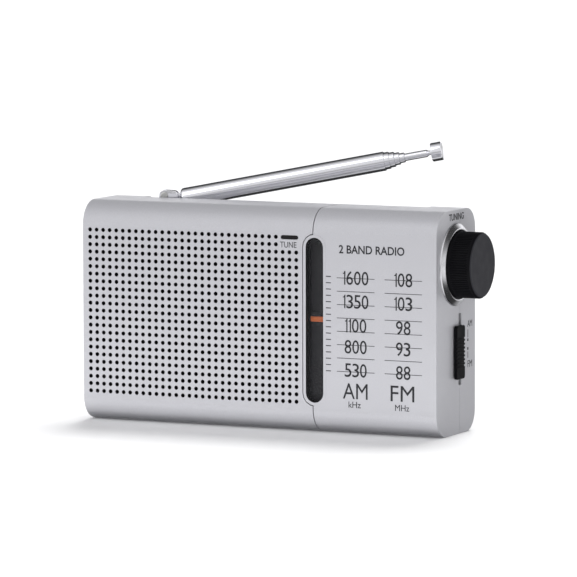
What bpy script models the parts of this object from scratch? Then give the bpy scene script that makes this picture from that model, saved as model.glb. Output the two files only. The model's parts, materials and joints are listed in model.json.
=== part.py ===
"""Pocket radio with a telescopic antenna, as an assembly of separate pieces.

Units are metres and +Z is up. The origin is the centre of the case's base, the front faces -Y and
the tuning knob is on the +X end.
"""
import bpy
import bmesh
from math import cos, pi, radians, sin
from mathutils import Matrix, Vector

MM = 0.001

# Case
CASE_W = 120.8 * MM
CASE_D = 29.6 * MM
CASE_H = 69.0 * MM
FRONT_ROUND = 7.6 * MM
REAR_ROUND = 6.5 * MM
WALL = 1.8 * MM
EDGE = 0.8 * MM
GAP = 0.3 * MM
PARTING_Y = 3.0 * MM
PARTING_GAP = 0.12 * MM
SEAM_X = 19.1 * MM

RIGHT = CASE_W / 2
LEFT = -RIGHT
REAR = CASE_D / 2
FRONT = -REAR
IN_RIGHT = RIGHT - WALL
IN_FRONT = FRONT + WALL
IN_REAR = REAR - WALL
OVER = 2.0 * MM

# Dial window and pointer
WINDOW_X = 19.65 * MM
WINDOW_LOW = 9.4 * MM
WINDOW_HIGH = 60.2 * MM
WINDOW_R = 2.95 * MM
RING_R = 3.85 * MM
RING_PROUD = 0.05 * MM
PLATE_Y = -10.5 * MM
PLATE_T = 0.7 * MM
POINTER_Z = 34.9 * MM
SLOT_X = 21.9 * MM

# Tuning drive: knob, spindle, drum, cord and rollers
KNOB_Z = 52.3 * MM
KNOB_R = 10.15 * MM
SKIRT_R = 10.5 * MM
KNOB_FRONT = 69.3 * MM
BEZEL_R = 12.4 * MM
BEZEL_BORE = 10.85 * MM
BEZEL_PROUD = 1.25 * MM
CORD_PLANE = 8.9 * MM
CORD_R = 0.3 * MM
DRUM_R = 10.0 * MM
DRUM_X = 53.5 * MM
DRUM_W = 3.2 * MM
ROLLER_R = 2.2 * MM
POST_R = 0.8 * MM
POST_END = -7.9 * MM
ROLLER_TOP = 63.0 * MM
ROLLER_LOW = 6.5 * MM

# Speaker
SPEAKER_X = -18.7 * MM
SPEAKER_Z = 34.2 * MM
SPEAKER_R = 28.5 * MM
SPEAKER_FRONT = IN_FRONT + 2 * GAP
MAGNET_R = 14.0 * MM

# Batteries: two AA cells end to end
CELL_R = 7.1 * MM
CELL_L = 50.0 * MM
CELL_Y = 5.4 * MM
CELL_Z = 11.1 * MM
BAY_LEFT = -53.4 * MM
BAY_RIGHT = 53.4 * MM
BAY_FRONT = -3.0 * MM
BAY_TOP = 19.6 * MM
BAY_LOW = 2.6 * MM
BAY_REAR = 13.3 * MM
BAY_WALL = 1.2 * MM
CELL_ROOM = 0.15 * MM
DOOR_LEFT = -51.5 * MM
DOOR_RIGHT = 51.7 * MM
DOOR_LOW = 4.0 * MM
DOOR_HIGH = 18.4 * MM
DOOR_FRONT = 10.0 * MM
TAB_X = (-36 * MM, 36 * MM)
TAB_HALF_W = 4.0 * MM
TAB_Y = 10.8 * MM
TAB_Z = 3.4 * MM
TAB_T = 0.8 * MM
TAB_ROOM = 0.4 * MM

# Circuit board
BOARD_FRONT = 9.6 * MM
BOARD_T = 1.5 * MM
BOARD_LEFT = -57.4 * MM
BOARD_RIGHT = 57.4 * MM
BOARD_LOW = 21.0 * MM
BOARD_HIGH = 60.4 * MM

# Controls on the ends
SWITCH_Z = 25.3 * MM
SWITCH_Y = 0.8 * MM
CAP_HALF_H = 8.2 * MM
CAP_HALF_W = 3.05 * MM
VOLUME_X = -52.5 * MM
VOLUME_Z = 42.0 * MM
VOLUME_R = 9.5 * MM
VOLUME_W = 3.6 * MM
JACK_Y = 7.1 * MM
JACK_Z = 26.0 * MM

# Antenna
RECESS_LEFT = -49.2 * MM
RECESS_RIGHT = 48.5 * MM
RECESS_Y = 5.6 * MM
RECESS_Z = 64.1 * MM
PIVOT = Vector((-43.6 * MM, 9.4 * MM, 69.4 * MM))
TUBE_DROP = 1.8 * MM
SWING = radians(18.0)
RAISE = radians(10.7)
TUBE_START = 4.9 * MM
TUBE_END = 70.5 * MM
SECTION_STEP = 1.6 * MM
TIP_END = 88.9 * MM
TIP_R = 3.0 * MM
RIVET_X = 2.7 * MM

CORNER_X = 56.5 * MM
CORNER_TOP = 65.0 * MM
CORNER_LOW = 5.5 * MM
CORNERS = (
    (-CORNER_X, CORNER_TOP),
    (CORNER_X, CORNER_TOP),
    (-CORNER_X, CORNER_LOW),
    (CORNER_X, CORNER_LOW),
)
SCREW_R = 1.1 * MM


# ---------------------------------------------------------------- scene and helpers

def clear_scene():
    """Start from an empty scene."""
    for item in list(bpy.data.objects):
        bpy.data.objects.remove(item, do_unlink=True)


def new_collection(name):
    """Make a collection in the scene."""
    group = bpy.data.collections.new(name)
    bpy.context.scene.collection.children.link(group)
    return group


clear_scene()
PARTS = new_collection("pocket_radio")
CUTTERS = new_collection("cutters")


def principled(name, colour, roughness, metallic=0.0):
    """A plain Principled material."""
    made = bpy.data.materials.new(name)
    made.use_nodes = True
    shader = made.node_tree.nodes["Principled BSDF"]
    shader.inputs["Base Color"].default_value = (*colour, 1.0)
    shader.inputs["Roughness"].default_value = roughness
    shader.inputs["Metallic"].default_value = metallic
    made.diffuse_color = (*colour, 1.0)
    return made


SILVER = principled("silver_plastic", (0.55, 0.55, 0.58), 0.42, 0.3)
BLACK = principled("black_plastic", (0.015, 0.015, 0.018), 0.38)
CHROME = principled("chrome", (0.8, 0.8, 0.82), 0.08, 1.0)
SATIN = principled("satin_metal", (0.7, 0.7, 0.72), 0.28, 1.0)
DIAL = principled("dial_plastic", (0.035, 0.035, 0.04), 0.5)
ORANGE = principled("pointer_orange", (0.8, 0.17, 0.04), 0.4)
CLEAR = principled("clear_lens", (0.8, 0.82, 0.84), 0.05)
LAMP = principled("lamp_lens", (0.03, 0.01, 0.01), 0.15)
BOARD = principled("circuit_board", (0.42, 0.27, 0.1), 0.55)
BEIGE = principled("beige_plastic", (0.62, 0.56, 0.42), 0.5)
STEEL = principled("plated_steel", (0.55, 0.55, 0.55), 0.3, 1.0)
BRASS = principled("brass", (0.7, 0.5, 0.2), 0.3, 1.0)
COPPER = principled("copper_wire", (0.6, 0.25, 0.12), 0.35, 1.0)
FERRITE = principled("ferrite", (0.04, 0.04, 0.045), 0.7)
PAPER = principled("cone_paper", (0.03, 0.03, 0.03), 0.9)
CORD = principled("nylon_cord", (0.6, 0.55, 0.45), 0.8)
JACKET = principled("cell_jacket", (0.05, 0.12, 0.3), 0.35)
WIRE = principled("wire_sleeve", (0.4, 0.03, 0.03), 0.5)


def link(item, made=None):
    """Put an object among the parts with its material, or among the cutters without one."""
    if made is None:
        CUTTERS.objects.link(item)
        item.display_type = 'WIRE'
        item.hide_render = True
        return item
    PARTS.objects.link(item)
    item.data.materials.clear()
    item.data.materials.append(made)
    return item


def smooth(item, angle=35):
    """Shade round faces smooth and keep the sharp edges."""
    item.data.shade_smooth()
    item.data.set_sharp_from_angle(angle=radians(angle))
    return item


def block(name, low, high, made=None):
    """A box between two corners."""
    mesh = bpy.data.meshes.new(name)
    shape = bmesh.new()
    bmesh.ops.create_cube(shape, size=1.0)
    size = Vector(high) - Vector(low)
    middle = (Vector(high) + Vector(low)) / 2
    placed = Matrix.Translation(middle) @ Matrix.Diagonal((*size, 1.0))
    bmesh.ops.transform(shape, matrix=placed, verts=shape.verts)
    shape.to_mesh(mesh)
    shape.free()
    return link(bpy.data.objects.new(name, mesh), made)


AXES = {
    'X': Matrix(((0, 0, 1, 0), (1, 0, 0, 0), (0, 1, 0, 0), (0, 0, 0, 1))),
    'Y': Matrix(((1, 0, 0, 0), (0, 0, -1, 0), (0, 1, 0, 0), (0, 0, 0, 1))),
    'Z': Matrix.Identity(4),
}


def rod(name, radius, axis, centre, low, high, made=None, sides=24):
    """A cylinder along an axis; centre is given in the two other axes, in X, Y, Z order."""
    mesh = bpy.data.meshes.new(name)
    shape = bmesh.new()
    bmesh.ops.create_cone(shape, cap_ends=True, segments=sides, radius1=radius, radius2=radius,
                          depth=high - low)
    bmesh.ops.transform(shape, matrix=AXES[axis], verts=shape.verts)
    middle = (low + high) / 2
    places = {
        'X': (middle, *centre),
        'Y': (centre[0], middle, centre[1]),
        'Z': (*centre, middle),
    }
    bmesh.ops.translate(shape, vec=Vector(places[axis]), verts=shape.verts)
    shape.to_mesh(mesh)
    shape.free()
    item = link(bpy.data.objects.new(name, mesh), made)
    return smooth(item)


def to_mesh_object(curve_object, name, made):
    """Turn a curve object into a welded mesh object."""
    bpy.context.scene.collection.objects.link(curve_object)
    graph = bpy.context.evaluated_depsgraph_get()
    mesh = bpy.data.meshes.new_from_object(curve_object.evaluated_get(graph))
    shape = bmesh.new()
    shape.from_mesh(mesh)
    bmesh.ops.remove_doubles(shape, verts=shape.verts, dist=0.002 * MM)
    shape.to_mesh(mesh)
    shape.free()
    placed = curve_object.matrix_world.copy()
    bpy.data.objects.remove(curve_object, do_unlink=True)
    item = bpy.data.objects.new(name, mesh)
    item.matrix_world = placed
    return link(item, made)


def prism(name, outlines, axis, low, high, made=None):
    """A flat outline, with any holes, carried along an axis from low to high.

    Outline points are (Y, Z) for axis X, (X, Z) for axis Y and (X, Y) for axis Z.
    """
    curve = bpy.data.curves.new(name, 'CURVE')
    curve.dimensions = '2D'
    curve.fill_mode = 'BOTH'
    curve.extrude = (high - low) / 2
    for outline in outlines:
        spline = curve.splines.new('POLY')
        spline.points.add(len(outline) - 1)
        for point, place in zip(spline.points, outline):
            point.co = (place[0], place[1], 0.0, 1.0)
        spline.use_cyclic_u = True
    item = to_mesh_object(bpy.data.objects.new(name, curve), name, made)
    item.data.transform(AXES[axis])
    middle = (low + high) / 2
    shift = {'X': (middle, 0, 0), 'Y': (0, middle, 0), 'Z': (0, 0, middle)}
    item.data.transform(Matrix.Translation(shift[axis]))
    return smooth(item, 30)


def turned(name, profile, axis, place, made=None, sides=32, ring=False):
    """A profile of (radius, height) points turned about an axis through place."""
    mesh = bpy.data.meshes.new(name)
    count = len(profile)
    edges = [(i, i + 1) for i in range(count - 1)]
    if ring:
        edges.append((count - 1, 0))
    mesh.from_pydata([(r, 0.0, h) for r, h in profile], edges, [])
    item = bpy.data.objects.new(name, mesh)
    link(item, made)
    screw = item.modifiers.new("turn", 'SCREW')
    screw.steps = sides
    screw.render_steps = sides
    screw.use_merge_vertices = True
    screw.merge_threshold = 0.00001
    screw.use_smooth_shade = True
    turns = {
        'X': Matrix.Rotation(pi / 2, 4, 'Y'),
        'Y': Matrix.Rotation(-pi / 2, 4, 'X'),
        'Z': Matrix.Identity(4),
    }
    item.matrix_world = Matrix.Translation(Vector(place)) @ turns[axis]
    return item


def wire(name, paths, radius, made, closed=False):
    """Round wire along one or more lists of points, as one object."""
    curve = bpy.data.curves.new(name, 'CURVE')
    curve.dimensions = '3D'
    curve.bevel_depth = radius
    curve.bevel_resolution = 1
    curve.use_fill_caps = True
    for path in paths:
        spline = curve.splines.new('POLY')
        spline.points.add(len(path) - 1)
        for point, place in zip(spline.points, path):
            point.co = (*place, 1.0)
        spline.use_cyclic_u = closed
    return to_mesh_object(bpy.data.objects.new(name, curve), name, made)


def combine(item, tool, operation):
    """A Boolean with an exact solver."""
    step = item.modifiers.new(operation.lower(), 'BOOLEAN')
    step.operation = operation
    step.solver = 'EXACT'
    step.object = tool
    return item


def cut(item, *tools):
    """Cut each tool out of the piece."""
    for tool in tools:
        combine(item, tool, 'DIFFERENCE')
    return item


def add(item, *tools):
    """Join each tool to the piece."""
    for tool in tools:
        combine(item, tool, 'UNION')
    return item


# ---------------------------------------------------------------- outlines

def arc(centre, radius, start, end, steps):
    """Points along an arc, both ends included, angles in degrees."""
    points = []
    for i in range(steps + 1):
        angle = radians(start + (end - start) * i / steps)
        points.append((centre[0] + radius * cos(angle), centre[1] + radius * sin(angle)))
    return points


def circle(centre, radius, steps):
    """A circle's points."""
    return arc(centre, radius, 0, 360, steps)[:-1]


def obround(x, low, high, radius, steps=8):
    """A slot standing up, from low to high over its round ends."""
    top = arc((x, high - radius), radius, 0, 180, steps)
    bottom = arc((x, low + radius), radius, 180, 360, steps)
    return top + bottom


def round_box(left, low, right, high, radius, steps=3):
    """A rectangle with round corners."""
    points = arc((right - radius, high - radius), radius, 0, 90, steps)
    points += arc((left + radius, high - radius), radius, 90, 180, steps)
    points += arc((left + radius, low + radius), radius, 180, 270, steps)
    points += arc((right - radius, low + radius), radius, 270, 360, steps)
    return points


def case_outline(inset=0.0):
    """The case's section in (Y, Z): a box with large round corners."""
    front = FRONT_ROUND - inset
    rear = REAR_ROUND - inset
    y_front = FRONT + FRONT_ROUND
    y_rear = REAR - REAR_ROUND
    points = arc((y_rear, CASE_H - REAR_ROUND), rear, 0, 90, 6)
    points += arc((y_front, CASE_H - FRONT_ROUND), front, 90, 180, 7)
    points += arc((y_front, FRONT_ROUND), front, 180, 270, 7)
    points += arc((y_rear, REAR_ROUND), rear, 270, 360, 6)
    return points


# ---------------------------------------------------------------- case

def case_cover(name, made):
    """The whole case as a hollow shell, before it is cut into covers."""
    item = prism(name, [case_outline()], 'X', LEFT, RIGHT, made)
    bevel = item.modifiers.new("edges", 'BEVEL')
    bevel.width = EDGE
    bevel.segments = 2
    bevel.limit_method = 'ANGLE'
    bevel.angle_limit = radians(50)
    inside = prism(name + "_inside", [case_outline(WALL)], 'X', LEFT + WALL, IN_RIGHT)
    return cut(item, inside)


def keep_out(name, low, high):
    """A box that is cut away."""
    return block(name, low, high)


FAR = 0.1
REAR_HALF = keep_out("rear_half", (-FAR, PARTING_Y - PARTING_GAP, -FAR), (FAR, FAR, FAR))
FRONT_HALF = keep_out("front_half", (-FAR, -FAR, -FAR), (FAR, PARTING_Y, FAR))
RING_SEAT = rod("ring_seat", BEZEL_R + GAP, 'X', (0, KNOB_Z), RIGHT - 0.5 * MM, RIGHT + OVER, None, 32)
PILLAR_ZONE = prism("pillar_zone", [case_outline(0.5 * MM)], 'X', LEFT + 0.5 * MM, RIGHT - 0.5 * MM)
VOLUME_SLOT = keep_out("volume_slot", (LEFT - OVER, PARTING_Y - VOLUME_W / 2 - GAP, VOLUME_Z - 7.5 * MM),
                       (LEFT + WALL + OVER, PARTING_Y + VOLUME_W / 2 + GAP, VOLUME_Z + 7.5 * MM))
SWITCH_SLOT = keep_out("switch_slot", (IN_RIGHT - OVER, PARTING_Y - 1.0 * MM, 15.0 * MM),
                       (RIGHT + OVER, PARTING_Y + 1.0 * MM, 37.1 * MM))


def pillar(name, place, front, rear, radius=2.4 * MM):
    """A screw pillar, kept inside the case's outer skin."""
    return combine(rod(name, radius, 'Y', place, front, rear, None, 16), PILLAR_ZONE, 'INTERSECT')


def front_grille_cover():
    """The left front cover, with the speaker wall."""
    item = case_cover("front_grille_cover", SILVER)
    right_side = keep_out("grille_right", (SEAM_X - GAP / 2, -FAR, -FAR), (FAR, FAR, FAR))
    ring_reach = RING_R - WINDOW_R + GAP
    ring_outline = obround(WINDOW_X, WINDOW_LOW - ring_reach, WINDOW_HIGH + ring_reach, RING_R + GAP)
    ring_room = prism("ring_room", [ring_outline], 'Y', FRONT - OVER, IN_FRONT + OVER)
    lamp = prism("lamp_hole", [round_box(8.2 * MM, 59.35 * MM, 14.2 * MM, 60.65 * MM, 0.6 * MM)], 'Y',
                 FRONT - OVER, IN_FRONT + OVER)
    cut(item, REAR_HALF, right_side, ring_room, lamp, VOLUME_SLOT)
    for index, place in enumerate((CORNERS[0], CORNERS[2])):
        add(item, pillar("grille_pillar_%d" % index, place, IN_FRONT - 0.5 * MM, PARTING_Y - GAP))
    for index, place in enumerate(speaker_screw_places()):
        add(item, pillar("speaker_pillar_%d" % index, place, IN_FRONT - 0.5 * MM, -10.8 * MM, 1.6 * MM))
        cut(item, rod("speaker_bore_%d" % index, 0.9 * MM, 'Y', place, IN_FRONT + 0.4 * MM, 0, None, 12))
    for index, place in enumerate((CORNERS[0], CORNERS[2])):
        cut(item, rod("grille_bore_%d" % index, SCREW_R + GAP, 'Y', place, -6 * MM, 12 * MM, None, 12))
    return item


def front_dial_cover():
    """The right front cover, with the printed dial and the window's raised ring."""
    item = case_cover("front_dial_cover", SILVER)
    left_side = keep_out("dial_left", (-FAR, -FAR, -FAR), (SEAM_X + GAP / 2, FAR, FAR))
    ring_reach = RING_R - WINDOW_R
    outer = obround(WINDOW_X, WINDOW_LOW - ring_reach, WINDOW_HIGH + ring_reach, RING_R)
    ring = prism("window_ring", [outer], 'Y', FRONT - RING_PROUD, IN_FRONT - 0.3 * MM)
    window = prism("window_hole", [obround(WINDOW_X, WINDOW_LOW, WINDOW_HIGH, WINDOW_R)], 'Y',
                   FRONT - OVER, IN_FRONT + OVER)
    shaft = rod("shaft_hole", 2.1 * MM, 'X', (0, KNOB_Z), IN_RIGHT - OVER, RIGHT + OVER, None, 16)
    cut(item, left_side, REAR_HALF)
    add(item, ring)
    cut(item, window, shaft, SWITCH_SLOT)
    for index, place in enumerate((CORNERS[1], CORNERS[3])):
        add(item, pillar("dial_pillar_%d" % index, place, IN_FRONT - 0.5 * MM, PARTING_Y - GAP))
        cut(item, rod("dial_bore_%d" % index, SCREW_R + GAP, 'Y', place, -6 * MM, 12 * MM, None, 12))
    return cut(item, RING_SEAT)


def rear_shell():
    """The back half of the case, with the antenna's recess and the battery bay."""
    item = case_cover("rear_shell", SILVER)
    cut(item, FRONT_HALF)
    step = prism("recess_walls", [case_outline(0.4 * MM)], 'X', RECESS_LEFT - WALL, RECESS_RIGHT + WALL)
    zone = keep_out("recess_zone", (-FAR, RECESS_Y - WALL, RECESS_Z - WALL), (FAR, FAR, FAR))
    combine(step, zone, 'INTERSECT')
    room = keep_out("recess_room", (RECESS_LEFT, RECESS_Y, RECESS_Z),
                    (RECESS_RIGHT, REAR + OVER, CASE_H + OVER))
    bay = block("bay_walls", (BAY_LEFT, BAY_FRONT, BAY_LOW), (BAY_RIGHT, BAY_REAR, BAY_TOP))
    bay_room = block("bay_room", (BAY_LEFT + BAY_WALL, BAY_FRONT + BAY_WALL - CELL_ROOM, BAY_LOW + BAY_WALL),
                     (BAY_RIGHT - BAY_WALL, 12.6 * MM, BAY_TOP - BAY_WALL))
    door_room = block("door_room", (DOOR_LEFT, DOOR_FRONT, DOOR_LOW), (DOOR_RIGHT, REAR + OVER, DOOR_HIGH))
    tab_rooms = []
    for index, x in enumerate(TAB_X):
        reach = TAB_HALF_W + TAB_ROOM
        tab_rooms.append(keep_out("tab_room_%d" % index, (x - reach, TAB_Y - TAB_ROOM, TAB_Z - TAB_ROOM),
                                  (x + reach, TAB_Y + TAB_T + TAB_ROOM, 6.0 * MM)))
    add(item, step, bay)
    cut(item, room, bay_room, door_room, VOLUME_SLOT, SWITCH_SLOT, *tab_rooms)
    cut(item, rod("jack_hole", 3.2 * MM, 'X', (JACK_Y, JACK_Z), LEFT - OVER, LEFT + WALL + OVER, None, 20))
    cut(item, rod("antenna_screw_hole", 1.4 * MM, 'Z', (PIVOT.x, PIVOT.y), RECESS_Z - WALL - OVER,
                  RECESS_Z + OVER, None, 16))
    for index, place in enumerate(CORNERS):
        add(item, pillar("rear_pillar_%d" % index, place, PARTING_Y, IN_REAR + 0.9 * MM, 2.7 * MM))
        cut(item, rod("rear_bore_%d" % index, SCREW_R + GAP, 'Y', place, 0, REAR + OVER, None, 12))
        cut(item, rod("rear_sink_%d" % index, 2.0 * MM, 'Y', place, REAR - 3.0 * MM, REAR + OVER, None, 16))
    for index, place in enumerate(board_screw_places()):
        rest = BOARD_FRONT + BOARD_T + GAP
        add(item, pillar("board_pillar_%d" % index, place, rest, IN_REAR + 0.5 * MM, 2.0 * MM))
    return cut(item, RING_SEAT)


def battery_door():
    """The curved lid over the battery bay, with two tabs behind its lower edge."""
    item = case_cover("battery_door", SILVER)
    frame = block("door_frame", (DOOR_LEFT + GAP, DOOR_FRONT, DOOR_LOW + GAP),
                  (DOOR_RIGHT - GAP, REAR + OVER, DOOR_HIGH - GAP))
    combine(item, frame, 'INTERSECT')
    for index, x in enumerate(TAB_X):
        left = x - TAB_HALF_W
        right = x + TAB_HALF_W
        tab = block("door_tab_%d" % index, (left, TAB_Y, TAB_Z), (right, TAB_Y + TAB_T, TAB_Z + 2.0 * MM))
        foot = block("door_foot_%d" % index, (left, TAB_Y + TAB_T / 2, TAB_Z + 1.2 * MM),
                     (right, TAB_Y + 3.0 * MM, TAB_Z + 2.0 * MM))
        add(item, tab, foot)
    return item


def case_screws():
    """Four screws from the back into the front covers."""
    profile = [(0, 12.9 * MM), (1.7 * MM, 12.9 * MM), (1.8 * MM, 12.6 * MM), (1.8 * MM, 12.1 * MM),
               (SCREW_R, 12.1 * MM), (SCREW_R, -3.5 * MM), (0, -4.6 * MM)]
    for index, place in enumerate(CORNERS):
        turned("case_screw_%d" % (index + 1), profile, 'Y', (place[0], 0, place[1]), STEEL, 12)


# ---------------------------------------------------------------- dial

def dial_window_frame():
    """The black well behind the window hole."""
    outer = obround(WINDOW_X, WINDOW_LOW - 1.4 * MM, WINDOW_HIGH + 1.4 * MM, WINDOW_R + 1.4 * MM)
    inner = obround(WINDOW_X, WINDOW_LOW + 0.1 * MM, WINDOW_HIGH - 0.1 * MM, WINDOW_R - 0.1 * MM)
    return prism("dial_window_frame", [outer, inner], 'Y', IN_FRONT + GAP, PLATE_Y - GAP, BLACK)


def dial_window_lens():
    """The clear lens set in the window hole."""
    outline = obround(WINDOW_X, WINDOW_LOW + 0.1 * MM, WINDOW_HIGH - 0.1 * MM, WINDOW_R - 0.1 * MM)
    return prism("dial_window_lens", [outline], 'Y', FRONT + 0.4 * MM, FRONT + 1.2 * MM, CLEAR)


def roller_places():
    """Centres of the four cord rollers, in (X, Z)."""
    left = SLOT_X + ROLLER_R
    right = DRUM_X - ROLLER_R
    return ((left, ROLLER_TOP), (right, ROLLER_TOP), (right, ROLLER_LOW), (left, ROLLER_LOW))


def dial_chassis():
    """The dark plate behind the window, which carries the cord rollers."""
    outline = round_box(13.8 * MM, 3.2 * MM, 53.2 * MM, 65.8 * MM, 1.5 * MM)
    slot = round_box(SLOT_X - 0.7 * MM, 8.6 * MM, SLOT_X + 0.7 * MM, 61.0 * MM, 0.6 * MM)
    item = prism("dial_chassis", [outline, slot], 'Y', PLATE_Y, PLATE_Y + PLATE_T, DIAL)
    notch = block("drum_notch", (51.4 * MM, PLATE_Y - OVER, 47 * MM), (54 * MM, PLATE_Y + OVER, 57.6 * MM))
    for index, place in enumerate(roller_places()):
        add(item, rod("roller_post_%d" % index, POST_R, 'Y', place, PLATE_Y + 0.2 * MM, POST_END, None, 12))
    return cut(item, notch)


def dial_pointer():
    """The orange bar, the width of the window."""
    return block("dial_pointer", (WINDOW_X - 2.6 * MM, -12.2 * MM, POINTER_Z - 0.8 * MM),
                 (WINDOW_X + 2.6 * MM, -11.7 * MM, POINTER_Z + 0.8 * MM), ORANGE)


def pointer_carriage():
    """The dark slider behind the pointer, with an arm through the slot to a hook on the cord."""
    item = block("pointer_carriage", (WINDOW_X - 2.6 * MM, -11.4 * MM, POINTER_Z - 2.2 * MM),
                 (WINDOW_X + 2.6 * MM, -10.8 * MM, POINTER_Z + 2.2 * MM), DIAL)
    arm = block("carriage_arm", (SLOT_X - 0.35 * MM, -11.2 * MM, POINTER_Z - 1.5 * MM),
                (SLOT_X + 0.35 * MM, -9.55 * MM, POINTER_Z + 1.5 * MM))
    hook = block("carriage_hook", (SLOT_X - 1.5 * MM, -9.55 * MM, POINTER_Z - 1.5 * MM),
                 (SLOT_X + 1.5 * MM, -7.6 * MM, POINTER_Z + 1.5 * MM))
    bore = block("carriage_bore", (SLOT_X - 0.65 * MM, -9.45 * MM, POINTER_Z - 4 * MM),
                 (SLOT_X + 0.65 * MM, -8.3 * MM, POINTER_Z + 4 * MM))
    neck = block("carriage_neck", (SLOT_X - 0.35 * MM, -9.7 * MM, POINTER_Z - 1.5 * MM),
                 (SLOT_X + 0.35 * MM, -9.45 * MM, POINTER_Z + 1.5 * MM))
    add(item, arm, hook)
    cut(item, bore)
    return add(item, neck)


def cord_rollers():
    """Four grooved rollers that turn the cord's corners."""
    half = 0.7 * MM
    groove = ROLLER_R - CORD_R - 0.2 * MM
    rim = ROLLER_R + 0.2 * MM
    profile = [(rim, half), (rim, half * 0.8), (groove, 0.4 * MM), (groove, -0.4 * MM), (rim, -half * 0.8),
               (rim, -half), (1.0 * MM, -half), (1.0 * MM, half)]
    for index, (x, z) in enumerate(roller_places()):
        turned("cord_roller_%d" % (index + 1), profile, 'Y', (x, -CORD_PLANE, z), BEIGE, 12, True)


def cord_route():
    """The cord's loop: up the window side, over the rollers, and once round the drum."""
    y = -CORD_PLANE
    corners = roller_places()
    starts = (180, 90, 0, -90)
    route = []
    for place, start in zip(corners[:2], starts[:2]):
        route += [(x, y, z) for x, z in arc(place, ROLLER_R, start, start - 90, 4)]
    turns = 22
    for i in range(turns + 1):
        angle = 2 * pi * i / turns
        x = DRUM_X - 0.5 * MM + 1.0 * MM * i / turns
        route.append((x, -CORD_PLANE * cos(angle), KNOB_Z - CORD_PLANE * sin(angle)))
    for place, start in zip(corners[2:], starts[2:]):
        route += [(x, y, z) for x, z in arc(place, ROLLER_R, start, start - 90, 4)]
    return route


def dial_cord():
    """The cord that carries the pointer."""
    return wire("dial_cord", [cord_route()], CORD_R, CORD, True)


# ---------------------------------------------------------------- tuning drive

def tuning_knob():
    """The black knob: a skirt, a body and a flat face, with a blind bore."""
    back = 0.7 * MM
    length = KNOB_FRONT - RIGHT
    profile = [(0, length), (KNOB_R - 1.0 * MM, length), (KNOB_R - 0.3 * MM, length - 0.3 * MM),
               (KNOB_R, length - 1.0 * MM), (KNOB_R, 2.0 * MM), (SKIRT_R, 1.8 * MM), (SKIRT_R, back),
               (1.8 * MM, back), (1.8 * MM, 5.6 * MM), (0, 5.6 * MM)]
    return turned("tuning_knob", profile, 'X', (RIGHT, 0, KNOB_Z), BLACK, 32)


def knob_bezel_ring():
    """The bright ring round the knob, sunk in the end of the case."""
    low = -0.2 * MM
    high = BEZEL_PROUD
    profile = [(BEZEL_BORE + 0.25 * MM, high), (BEZEL_R - 0.6 * MM, high), (BEZEL_R, high - 0.6 * MM),
               (BEZEL_R, low), (BEZEL_BORE, low), (BEZEL_BORE, high - 0.25 * MM)]
    return turned("knob_bezel_ring", profile, 'X', (RIGHT, 0, KNOB_Z), SATIN, 32, True)


def tuning_shaft():
    """The spindle from the capacitor, through the drum and the case, into the knob."""
    return rod("tuning_shaft", 1.5 * MM, 'X', (0, KNOB_Z), 50.4 * MM, RIGHT + 5.3 * MM, BRASS, 16)


def cord_drum():
    """The drum that winds the cord, on the spindle."""
    half = DRUM_W / 2
    groove = CORD_PLANE - CORD_R - 0.25 * MM
    profile = [(DRUM_R, half), (DRUM_R, half - 0.4 * MM), (groove, half - 0.6 * MM),
               (groove, 0.6 * MM - half), (DRUM_R, 0.4 * MM - half), (DRUM_R, -half), (1.8 * MM, -half),
               (1.8 * MM, half)]
    return turned("cord_drum", profile, 'X', (DRUM_X, 0, KNOB_Z), BEIGE, 24, True)


def tuning_capacitor():
    """The square variable capacitor with its round boss."""
    half = 8.0 * MM
    item = block("tuning_capacitor", (36 * MM, -half, KNOB_Z - half), (49.5 * MM, half, KNOB_Z + half),
                 BEIGE)
    boss = rod("capacitor_boss", 4.0 * MM, 'X', (0, KNOB_Z), 49 * MM, 51.2 * MM, None, 20)
    bore = rod("capacitor_bore", 1.8 * MM, 'X', (0, KNOB_Z), 50.0 * MM, 53 * MM, None, 16)
    add(item, boss)
    return cut(item, bore)


# ---------------------------------------------------------------- switch, volume, jack, lamp

def band_switch_cap():
    """The ribbed slider on the end of the case, with its stem through the slot."""
    outer = round_box(SWITCH_Y - CAP_HALF_W, SWITCH_Z - CAP_HALF_H, SWITCH_Y + CAP_HALF_W,
                      SWITCH_Z + CAP_HALF_H, 0.8 * MM)
    item = prism("band_switch_cap", [outer], 'X', RIGHT + GAP, RIGHT + 1.4 * MM, BLACK)
    stem = block("switch_stem", (RIGHT - 3.3 * MM, PARTING_Y - 0.6 * MM, SWITCH_Z - 2.8 * MM),
                 (RIGHT + 0.8 * MM, PARTING_Y + 0.6 * MM, SWITCH_Z + 2.2 * MM))
    add(item, stem)
    for index in range(8):
        z = SWITCH_Z + (index - 3.5) * 1.2 * MM
        groove = block("cap_groove_%d" % index, (RIGHT + 1.1 * MM, -4 * MM, z - 0.25 * MM),
                       (RIGHT + OVER, 4 * MM, z + 0.25 * MM))
        cut(item, groove)
    return item


def band_switch_body():
    """The slide switch's metal can, with a slot for the stem."""
    item = block("band_switch_body", (54.0 * MM, PARTING_Y - 3.4 * MM, 20.0 * MM),
                 (58.2 * MM, PARTING_Y + 3.4 * MM, 36.0 * MM), STEEL)
    slot = block("body_slot", (56.6 * MM, PARTING_Y - 1.0 * MM, 21.6 * MM),
                 (60 * MM, PARTING_Y + 1.0 * MM, 31.6 * MM))
    return cut(item, slot)


def volume_wheel():
    """The thumbwheel in the left end, with finger notches."""
    half = VOLUME_W / 2
    edge = 0.5 * MM
    hub_r = 2.4 * MM
    profile = [(0, half + GAP), (hub_r, half + GAP), (hub_r, half), (VOLUME_R - edge, half),
               (VOLUME_R, half - edge), (VOLUME_R, edge - half), (VOLUME_R - edge, -half), (0, -half)]
    return turned("volume_wheel", profile, 'Y', (VOLUME_X, PARTING_Y, VOLUME_Z), BLACK, 28)


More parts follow.
